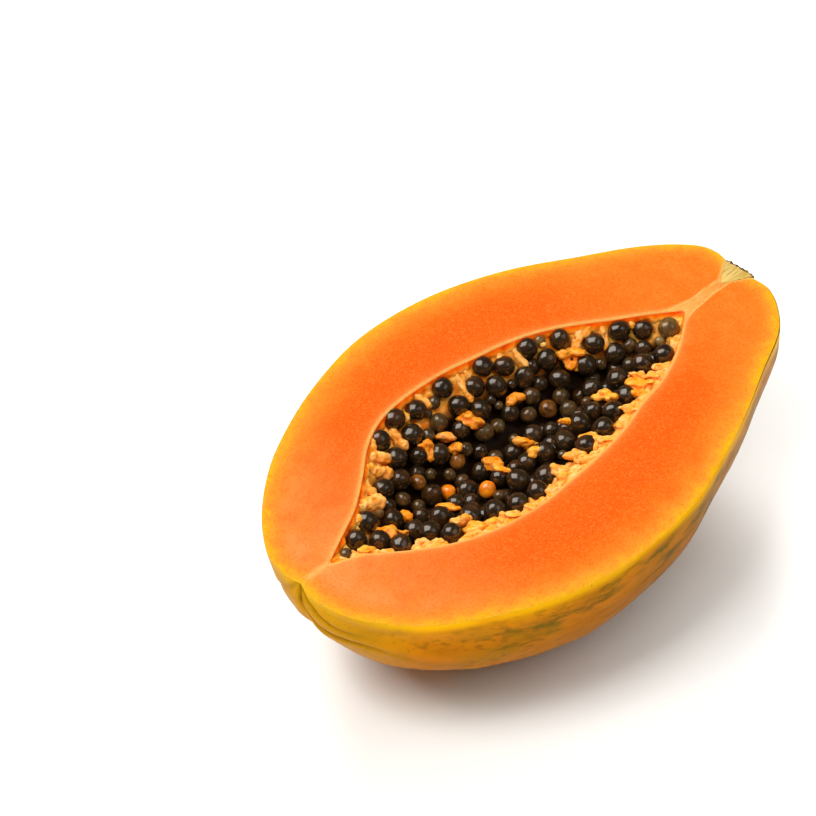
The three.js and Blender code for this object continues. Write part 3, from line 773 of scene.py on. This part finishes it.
def build_flesh(seeds):
    t = np.linspace(0, 1, STATIONS + 1)
    t = t - STATION_CROWDING * np.sin(2 * math.pi * t)
    stations = CAVITY_START[0] + (CAVITY_END[0] - CAVITY_START[0]) * t
    skin, crease = skin_grid()
    face, outer, inner = face_grid(stations)
    pulp = pulp_grid(stations)

    outline = np.vstack([outer, outer[:1]])
    edge = np.vstack([inner, inner[:1]])
    flat = face.reshape(-1, 3)
    skin_mm = distance_to(outline, flat)
    cavity_mm = distance_to(edge, flat)
    inside = smooth(skin_mm, 0.3, 3) * smooth(cavity_mm, 0.2, 2)
    flat[:, 2] = bumps(flat, FACE_BUMPS) * inside - RIM_DROP * (1 - smooth(skin_mm, 0, RIM_ROUND))
    flat[:, 2] -= LIP_DROP * (1 - smooth(cavity_mm, 0, LIP_ROUND))
    sink_pit(flat)

    grid, ridge = raise_pulp(pulp, seeds)
    rows = grid.reshape(-1, 3)
    below = -rows[:, 2]
    inward = np.minimum(edge_at(FAR_EDGE, rows[:, 0]) - rows[:, 1],
                        rows[:, 1] - edge_at(NEAR_EDGE, rows[:, 0]))

    loop = outer.shape[0]
    face_ids = np.arange(loop * (FACE_RINGS + 1)).reshape(FACE_RINGS + 1, loop)
    face_ids = np.concatenate([face_ids, face_ids[:, :1]], axis=1)
    corners = [face_ids[:-1, :-1], face_ids[:-1, 1:], face_ids[1:, 1:], face_ids[1:, :-1]]
    face_quads = np.stack(corners, -1).reshape(-1, 4)
    skin_start = loop * (FACE_RINGS + 1)
    skin_quads = grid_faces(STATIONS + 1, SKIN_STEPS + 1, skin_start, flip=True)
    pulp_start = skin_start + (STATIONS + 1) * (SKIN_STEPS + 1)
    pulp_quads = grid_faces(STATIONS + 1, PULP_STEPS + 1, pulp_start)

    skin_rows = skin.reshape(-1, 3)
    skin_rows[:, 2] = np.minimum(skin_rows[:, 2], -RIM_DROP)
    places = np.vstack([flat, skin_rows, rows])
    sizes = len(flat), len(skin_rows), len(rows)
    rim_mm = -skin_rows[:, 2]
    lip = sum(level * bell(cavity_mm, middle, width) for level, middle, width in LIP_PALE_AND_HIGHLIGHT)
    band = stem_band(flat)
    blossom = sum(level * (1 - smooth(flat[:, 0], full, none)) for level, full, none in BLOSSOM_PALE)
    fields = {
        "skin_mm": spread(sizes, skin_mm, 0, 9),
        # pale lip on the cut face and on the top of the wall: partly the lining, partly a painted highlight
        "lip": spread(sizes, lip, 0, WALL_PALE_AND_HIGHLIGHT * (1 - smooth(below, LIP_DROP, 2 * LIP_DROP))),
        "band": spread(sizes, band, 0, 0),
        "blossom": spread(sizes, blossom, 0, 0),
        "stem_end": spread(sizes, STEM_PALE * smooth(flat[:, 0], *STEM_REACH), 0, 0),
        "along": spread(sizes, 0, skin_rows[:, 0], 0),
        "rim_mm": spread(sizes, 0, rim_mm, 0),
        # painted shade in the skin's folds
        "crease": spread(sizes, 0, crease.ravel(), 0),
        "ridge": spread(sizes, 0, 0, ridge),
        # painted shade of the bed deep among the seeds
        "dark": spread(sizes, 0, 0, smooth(inward, *SHADE_REACH)),
    }
    faces = np.vstack([face_quads, skin_quads, pulp_quads])
    slots = np.repeat([1, 0, 2], [len(face_quads), len(skin_quads), len(pulp_quads)])
    materials = [skin_material(), flesh_material(), pulp_material()]
    piece = make_mesh("papaya_flesh", places, faces, materials, fields, slots)
    weld(piece)
    return add_piece(piece, "flesh", "rind_and_flesh")


def spread(sizes, *values):
    """One field over the cut face, the skin and the pulp in turn."""
    return np.concatenate([np.broadcast_to(value, size) for size, value in zip(sizes, values)])


def stem_band(flat):
    """Pale threads from the cavity's tip to the stalk's stub, and round the stub."""
    x, y = flat[:, 0], flat[:, 1]
    middle = 0.2 + 0.02 * (x - 60)
    half = BAND_HALF - 0.5 * smooth(x, 60, 74) + BAND_FLARE * (1 - smooth(x, 52, 64))
    off = (y - middle) / half
    strand = BAND_LEVEL * (1 - smooth(np.abs(off), 0.6, 1.3))
    for place, width, level in THREADS:
        wander = place + 0.06 * np.sin(0.5 * x + 3 * place)
        strand = np.maximum(strand, level * bell(off, wander, width))
    strand = strand * smooth(x, 50, 60) * (1 - smooth(x, 77, 84))
    cone = STUB_RADIUS * (x - STUB_TIP[0]) / (STUB_BASE[0] - STUB_TIP[0])
    sleeve = SLEEVE_LEVEL * bell(np.abs(y - STUB_BASE[1]) - cone, 0.5, 0.55) * smooth(x, 76, 78.5)
    notch = NOTCH_LEVEL * bell(y + 0.2 - 0.02 * (x + 95), 0, 1.1)
    notch = notch * smooth(x, -100, -97) * (1 - smooth(x, -92, -88))
    return np.clip(np.maximum.reduce([strand, sleeve, notch]), 0, 1)


def sink_pit(flat):
    """Lowers the cut face where the stalk's stub sits in it."""
    cone = STUB_RADIUS * (flat[:, 0] - STUB_TIP[0]) / (STUB_BASE[0] - STUB_TIP[0]) - PIT_GAP
    off = flat[:, 1] - STUB_BASE[1]
    room = np.maximum(cone, 0) ** 2 - off**2
    depth = np.sqrt(np.maximum(room, 0)) * PIT_SHARE
    flat[:, 2] = np.where(room > 0, -depth, flat[:, 2])


def weld(piece):
    shape = bmesh.new()
    shape.from_mesh(piece.data)
    bmesh.ops.remove_doubles(shape, verts=shape.verts, dist=WELD_DISTANCE)
    bmesh.ops.dissolve_degenerate(shape, edges=shape.edges, dist=THINNEST_EDGE)
    bmesh.ops.recalc_face_normals(shape, faces=shape.faces)
    shape.to_mesh(piece.data)
    shape.free()


# Seeds

def sphere(level):
    shape = bmesh.new()
    bmesh.ops.create_icosphere(shape, subdivisions=level, radius=1)
    places = np.array([vert.co[:] for vert in shape.verts])
    faces = np.array([[vert.index for vert in face.verts] for face in shape.faces])
    shape.free()
    return places, faces


FINE_BALL = sphere(4)
BALL = sphere(3)


def rest_on_pulp(x, y, lift, highest):
    """The place on the sight line through x, y on the cut face that lies lift above the pulp."""
    step = (np.array([x, y, 0.0]) - EYE) / EYE[2]
    depth = -highest
    while depth < SIGHT_END:
        spot = np.array([x, y, 0.0]) + step * depth
        if depth >= pulp_depth(spot[0], spot[1]) - lift:
            break
        depth += SIGHT_STEP
    return spot


def in_view(place):
    """Where a place shows in the camera's view, in millimetres at the distance of the cut face."""
    ray = place - EYE
    scale = EYE_DISTANCE / -(ray @ np.array(CAMERA_BACK))
    return np.array([ray @ np.array(CAMERA_RIGHT), ray @ np.array(CAMERA_UP)]) * scale


def shown_at(place):
    """The place on the cut face in front of which the camera sees the given one."""
    return (EYE + (place - EYE) * EYE[2] / (EYE[2] - place[2]))[:2]


def turned(number):
    """A turn that differs from seed to seed and is the same each run."""
    draw = np.random.default_rng(1000 + number)
    axis = Vector(draw.normal(size=3)).normalized()
    return np.array(Matrix.Rotation(draw.uniform(0, math.pi), 3, axis))


def seed_shape(middle, radius, number, ball=BALL):
    """Points of an egg-shaped seed with a slightly puckered skin."""
    draw = np.random.default_rng(5000 + number)
    places = ball[0]
    taper = 1 + draw.uniform(-0.08, 0.08) * places[:, 2]
    swell = 1 + 0.03 * waves(places + number, 1.6, 41) + 0.01 * waves(places + number, 0.6, 42)
    places = places * (swell * taper)[:, None] * (1, draw.uniform(0.94, 1.0), draw.uniform(1.0, 1.1))
    return middle + radius * places @ turned(number).T


def join_shapes(shapes):
    """Places and faces of several seeds as one."""
    places, faces = BALL
    return np.vstack(shapes), np.vstack([faces + i * len(places) for i in range(len(shapes))])


def kinds():
    return {
        "dark": seed_material("seed_dark", (34, 23, 10), (70, 50, 25), 0.6),
        "brown": seed_material("seed_brown", (60, 42, 18), (110, 84, 46), 0.7),
        "pale": seed_material("seed_pale", (112, 86, 40), (176, 142, 84), 0.8),
        "amber": seed_material("seed_amber", (70, 42, 14), (186, 112, 34), 0.85),
        "tan": seed_material("seed_tan", (84, 60, 24), (166, 124, 62), 0.8),
        # The orange seeds' tones over 255 are painted light, for seeds that get less light than the cut
        # face.
        "orange": seed_material("seed_orange", (300, 140, 2), (306, 182, 30), 0.9),
    }


def seed_kind(middle):
    for x, y, kind in LIGHT_SEEDS:
        if np.linalg.norm(in_view(middle) - in_view(np.array([x, y, 0.0]))) < SEED_RADIUS / 2:
            return kind
    return "dark"


def build_seeds(materials):
    """One piece for each seed of the frame, in its place."""
    taken = []
    for number, node in enumerate(sorted(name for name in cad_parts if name.startswith("seed_"))):
        low, high = (np.array(corner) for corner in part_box(node))
        middle = (low + high) / 2 * 1000 - SHIFT
        shape = seed_shape(middle, SEED_RADIUS * SEED_SWELL, number, FINE_BALL)
        piece = make_mesh(node + "_skin", shape, FINE_BALL[1], [materials[seed_kind(middle)]])
        add_piece(piece, "seed", node)
        taken.append((middle, SEED_RADIUS))
    return taken


def build_more_seeds(materials, taken):
    """Seeds that the frame leaves out: those seen between the others, and lower ones."""
    shapes = {kind: [] for kind in materials}
    for number, (x, y, radius, kind) in enumerate(MORE_SEEDS):
        middle = rest_on_pulp(x, y, SEED_LIFT, HIGHEST_SEED)
        middle = part_from(middle, radius, taken)
        taken.append((middle, radius))
        shapes[kind].append(seed_shape(middle, radius, 200 + number))
    for number in range(FILL_TRIES):
        x = rng.uniform(CAVITY_START[0] + 8, CAVITY_END[0] - 6)
        far, near = edge_at(FAR_EDGE, x), edge_at(NEAR_EDGE, x)
        y = rng.uniform(near, far)
        radius = rng.uniform(*FILL_RADII)
        if min(far - y, y - near) < FILL_INWARD:
            continue
        middle = np.array([x, y, -max(bed_depth(x, y) - FILL_LIFT, FILL_TOP)])
        shown = shown_at(middle)
        if shown[1] - edge_at(NEAR_EDGE, shown[0]) < FILL_INWARD:
            continue
        if distance_to(np.array(HOLLOW, float), shown[None])[0] < HOLLOW_REACH:
            continue
        if all(np.linalg.norm(middle - other) > FILL_TOUCH * (radius + size) for other, size in taken):
            taken.append((middle, radius))
            shapes["dark"].append(seed_shape(middle, radius, 400 + number))
    for kind, group in shapes.items():
        places, faces = join_shapes(group)
        add_piece(make_mesh("more_seeds_" + kind, places, faces, [materials[kind]]), "seed")


def part_from(middle, radius, taken):
    """Moves a seed out of its neighbours, mostly along the sight line."""
    sight = (middle - EYE) / np.linalg.norm(middle - EYE)
    for _ in range(PART_ROUNDS):
        push = np.zeros(3)
        for other, size in taken:
            gap = middle - other
            short = SEED_TOUCH * (radius + size) - np.linalg.norm(gap)
            if short > 0:
                push += gap / max(np.linalg.norm(gap), 1e-6) * short * 0.5 + sight * short * 0.5
        if not push.any():
            break
        middle = middle + push
    return middle


def lump_blobs(number, middle, half_width, tall):
    """Stretched balls that together make one torn lump. Each is a middle and three half axes."""
    draw = np.random.default_rng(300 + number)
    axes = np.array([CAMERA_RIGHT, CAMERA_UP, CAMERA_BACK]).T * (half_width, tall, half_width)
    return [(middle + axes @ draw.uniform(-LUMP_SPREAD, LUMP_SPREAD, 3), axes * draw.uniform(*LUMP_BALL, 3))
            for _ in range(LUMP_BALLS)]


def bank_blobs(seeds):
    """Stretched balls of pulp along the near rim, in the gaps that the camera sees between seeds."""
    draw = np.random.default_rng(77)
    shown = [(in_view(middle), radius) for middle, radius in seeds]
    blobs = []
    for off, depth, chance in BANK_ROWS:
        for x in np.arange(CAVITY_START[0] + 5, CAVITY_END[0] - 3, BANK_STEP):
            size = draw.uniform(0.85, 1.25)
            x += draw.uniform(-0.7, 0.7)
            spot = np.array([x, edge_at(NEAR_EDGE, x) + off + draw.uniform(-0.4, 0.5),
                             -depth + draw.uniform(-0.4, 0.4)])
            if draw.random() > chance:
                continue
            gaps = [np.linalg.norm(in_view(spot) - middle) - radius for middle, radius in shown]
            if min(gaps) > BANK_CLEAR * size:
                blobs.append((spot, np.diag(size * np.array(BANK_BLOB))))
    return blobs


def ridge_blobs():
    """Rows of balls that merge to soft ridges down the far wall."""
    draw = np.random.default_rng(78)
    blobs = []
    for x0, y0, x1, y1, half_width in RIDGES:
        count = max(2, round(math.hypot(x1 - x0, y1 - y0) / RIDGE_STEP))
        for t in np.linspace(0, 1, count):
            size = half_width * draw.uniform(0.92, 1.12) * (RIDGE_HEAD + RIDGE_SPREAD * t)
            x, y = x0 + (x1 - x0) * t, y0 + (y1 - y0) * t
            spot = rest_on_pulp(x, y, RIDGE_LIFT + t, RIDGE_TOP - half_width)
            spot = spot + draw.uniform(-0.3, 0.3, 3)
            blobs.append((spot, np.diag((size, size, 1.1 * size))))
    return blobs


def hollows(mesh, spots, normals):
    """How far each place lies below the even surface round it, in millimetres."""
    ends = np.empty(len(mesh.edges) * 2, np.int32)
    mesh.edges.foreach_get("vertices", ends)
    a, b = ends.reshape(-1, 2).T
    count = np.bincount(ends, minlength=len(spots))[:, None]
    even = spots
    for _ in range(EVEN_STEPS):
        total = [np.bincount(a, even[b, axis], len(spots)) + np.bincount(b, even[a, axis], len(spots))
                 for axis in range(3)]
        even = 0.5 * even + 0.5 * np.array(total).T / np.maximum(count, 1)
    return ((even - spots) * normals).sum(axis=1)


def merged_blobs(name, blobs, material):
    """One soft lump for each group of blobs that touch."""
    places, faces = sphere(3)
    vertices = np.vstack([spot + places @ axes.T for spot, axes in blobs]) + SHIFT
    mesh = bpy.data.meshes.new(name)
    mesh.from_pydata((vertices * MM).tolist(), [],
                     np.vstack([faces + i * len(places) for i in range(len(blobs))]).tolist())
    piece = bpy.data.objects.new(name, mesh)
    bpy.context.scene.collection.objects.link(piece)
    remesh = piece.modifiers.new("merge", "REMESH")
    remesh.mode = "VOXEL"
    remesh.voxel_size = LUMP_VOXEL * MM
    soften = piece.modifiers.new("soften", "SMOOTH")
    soften.factor, soften.iterations = SOFTEN_FACTOR, SOFTEN_STEPS
    merged = bpy.data.meshes.new_from_object(piece.evaluated_get(bpy.context.evaluated_depsgraph_get()))
    piece.modifiers.clear()
    piece.data = merged
    merged.materials.append(material)
    spots, normals = np.empty(len(merged.vertices) * 3), np.empty(len(merged.vertices) * 3)
    merged.vertices.foreach_get("co", spots)
    merged.vertices.foreach_get("normal", normals)
    spots, normals = spots.reshape(-1, 3) / MM - SHIFT, normals.reshape(-1, 3)
    rise = bumps(spots, LUMP_BUMPS) - np.abs(bumps(spots, LUMP_FOLDS))
    spots = spots + normals * rise[:, None]
    dent = hollows(merged, spots, normals)
    above = np.maximum(spots[:, 2] - LUMP_TOP, 0)
    spots[:, 2] -= (1 - LUMP_PRESS) * above
    merged.vertices.foreach_set("co", ((spots + SHIFT) * MM).ravel())
    # dent drives the painted shade in the hollows of the lumps, low_mm the painted shade lower down
    for field, values in (("dent", smooth(dent, -0.02, 0.16)), ("low_mm", -spots[:, 2])):
        layer = merged.attributes.new(field, "FLOAT", "POINT")
        layer.data.foreach_set("value", values.astype(np.float32))
    merged.polygons.foreach_set("use_smooth", np.ones(len(merged.polygons), bool))
    return add_piece(piece, "flesh")


def build_lumps(seeds):
    """Torn bits of pulp that stand between the seeds and along the rims."""
    blobs = {"bright": [], "pale": ridge_blobs()}
    for number, (x, y, half_width, half_length, kind) in enumerate(LUMPS):
        wide = LUMP_SWELL[kind] * half_width
        tall = LUMP_SWELL[kind] * half_length * abs(CAMERA_BACK[2])
        middle = rest_on_pulp(x, y, LUMP_LIFT, -LUMP_COVER - LUMP_TALL_SHARE * tall)
        blobs[kind] += lump_blobs(number, middle, wide, tall)
    # Tones over 255 are painted light, for lumps that get less light than the cut face.
    bright = lump_material("pulp_bright", (290, 168, 16), (300, 212, 80))
    pale = lump_material("pulp_pale", (288, 180, 46), (300, 220, 118))
    merged_blobs("pulp_lumps_bright", blobs["bright"], bright)
    merged_blobs("pulp_lumps_pale", blobs["pale"], pale)
    merged_blobs("pulp_bank", bank_blobs(seeds), pale)


# Stub

def build_stub():
    """Half a cone with a torn end, its flat side level with the cut face."""
    along = np.linspace(0, 1, STUB_RINGS + 1)[:, None]
    angle = np.linspace(0, math.pi, STUB_SIDES + 1)[None, :]
    radius = STUB_RADIUS * along**STUB_SLIM
    x = STUB_TIP[0] + (STUB_BASE[0] - STUB_TIP[0]) * along + 0 * angle
    axis = STUB_TIP[1] + (STUB_BASE[1] - STUB_TIP[1]) * along
    side = np.stack([x, axis + radius * np.cos(angle), -radius * np.sin(angle)], -1)
    shares = np.linspace(1, 0, STUB_END_RINGS + 1)[1:, None]
    middle = np.array([STUB_BASE[0], STUB_BASE[1], -0.1])
    end = side[-1][None] * shares[..., None] + middle * (1 - shares[..., None])
    end[..., 0] += STUB_CROWN * np.sqrt(1 - shares**2)
    grid = np.vstack([side, end])
    rough = smooth(grid[..., 0], STUB_BASE[0] - STUB_TORN, STUB_BASE[0])
    noise = waves(grid, 2.0, 61) * 0.35 + waves(grid, 0.8, 62) * 0.15
    grid[..., 0] += noise * rough
    across = np.linspace(-1, 1, STUB_COLUMNS)[None, :]
    fibres = 0.12 + 0.05 * np.sin(40 * across)
    top = np.stack([x[:, :1] + 0 * across, axis + radius * across, fibres + 0 * radius * across], -1)
    top[..., 0] += waves(top, 2.0, 61) * 0.35 * smooth(top[..., 0], STUB_BASE[0] - STUB_TORN, STUB_BASE[0])
    rows, columns = grid.shape[:2]
    places = np.vstack([grid.reshape(-1, 3), top.reshape(-1, 3)])
    faces = np.vstack([grid_faces(rows, columns, flip=True),
                       grid_faces(STUB_RINGS + 1, STUB_COLUMNS, rows * columns)])
    torn = smooth(places[:, 0], STUB_BASE[0] - 1.2, STUB_BASE[0] + 0.3)
    out = (places[:, 0] - STUB_TIP[0]) / (STUB_BASE[0] - STUB_TIP[0])
    piece = make_mesh("stalk_stub", places, faces, [stub_material()], {"torn": torn, "out": out})
    weld(piece)
    add_piece(piece, "stalk", "stem_stub")


# Floor, light and camera

def build_stage():
    half = FLOOR_HALF
    corners = [(-half, -half, 0), (half, -half, 0), (half, half, 0), (-half, half, 0)]
    mesh = bpy.data.meshes.new("floor")
    mesh.from_pydata(corners, [], [(0, 1, 2, 3)])
    floor = bpy.data.objects.new("floor", mesh)
    bpy.context.scene.collection.objects.link(floor)
    m = Nodes("floor_white")
    mesh.materials.append(m.finish(Base_Color=FLOOR_COLOUR, Roughness=0.7, Specular_IOR_Level=0.1))


def add_light(name, azimuth, elevation, half_width, half_height, radiance, kind):
    """A soft light: it either lights the surfaces or only shows in their gloss."""
    azimuth, elevation = math.radians(azimuth), math.radians(elevation)
    level = math.cos(elevation)
    direction = Vector((level * math.cos(azimuth), level * math.sin(azimuth), math.sin(elevation)))
    lamp = bpy.data.lights.new(name, "AREA")
    lamp.shape = "RECTANGLE"
    lamp.size = 2 * LIGHT_DISTANCE * math.tan(math.radians(half_width))
    lamp.size_y = 2 * LIGHT_DISTANCE * math.tan(math.radians(half_height))
    lamp.energy = radiance * math.pi * lamp.size * lamp.size_y
    light = bpy.data.objects.new(name, lamp)
    light.location = direction * LIGHT_DISTANCE
    light.rotation_euler = direction.to_track_quat("Z", "Y").to_euler()
    light.visible_glossy = kind == "shine"
    light.visible_diffuse = kind == "light"
    bpy.context.scene.collection.objects.link(light)


def build_light():
    for light in LIGHTS:
        add_light(*light)
    world = bpy.data.worlds.new("studio")
    world.use_nodes = True
    world.node_tree.nodes["Background"].inputs["Color"].default_value = (1, 1, 1, 1)
    world.node_tree.nodes["Background"].inputs["Strength"].default_value = WORLD_LEVEL
    bpy.context.scene.world = world
    bpy.context.scene.view_settings.view_transform = "Standard"


def build_camera():
    lens = bpy.data.cameras.new("camera")
    lens.sensor_width = SENSOR_MM
    lens.lens = FOCAL_SHARE * SENSOR_MM
    lens.clip_start = 0.01
    camera = bpy.data.objects.new("camera", lens)
    turn = Matrix((CAMERA_RIGHT, CAMERA_UP, CAMERA_BACK)).transposed()
    camera.matrix_world = Matrix.Translation(to_world(EYE)) @ turn.normalized().to_4x4()
    bpy.context.scene.collection.objects.link(camera)
    bpy.context.scene.camera = camera


build_camera()
build_light()
build_stage()
SEED_LOOKS = kinds()
TAKEN = build_seeds(SEED_LOOKS)
build_more_seeds(SEED_LOOKS, TAKEN)
build_flesh(TAKEN)
build_lumps(TAKEN)
build_stub()

bpy.context.view_layer.update()
